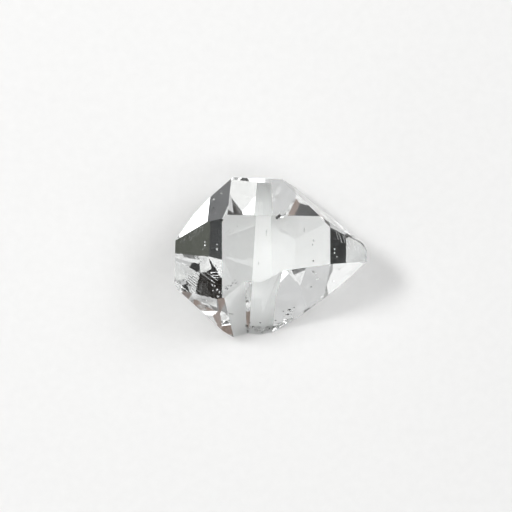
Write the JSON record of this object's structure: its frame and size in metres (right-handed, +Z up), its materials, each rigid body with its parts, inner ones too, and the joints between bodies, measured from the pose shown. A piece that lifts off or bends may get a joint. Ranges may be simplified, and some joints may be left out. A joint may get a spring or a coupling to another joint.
{
  "type": "double-terminated quartz crystal",
  "caption": "Clear, stubby quartz crystal with a prism waist and a faceted point at both ends, lying on a small flat face; a mineral specimen.",
  "frame": {"origin": "centre of the crystal's footprint, on the surface it rests on", "axes": "+X towards the crystal's right point, near its long axis; +Y towards the back edge; +Z up"},
  "size_m": [0.025, 0.0208, 0.0127],
  "materials": {
    "quartz": "polished"
  },
  "bodies": {
    "root": {"crystal": "quartz"}
  },
  "joints": []
}
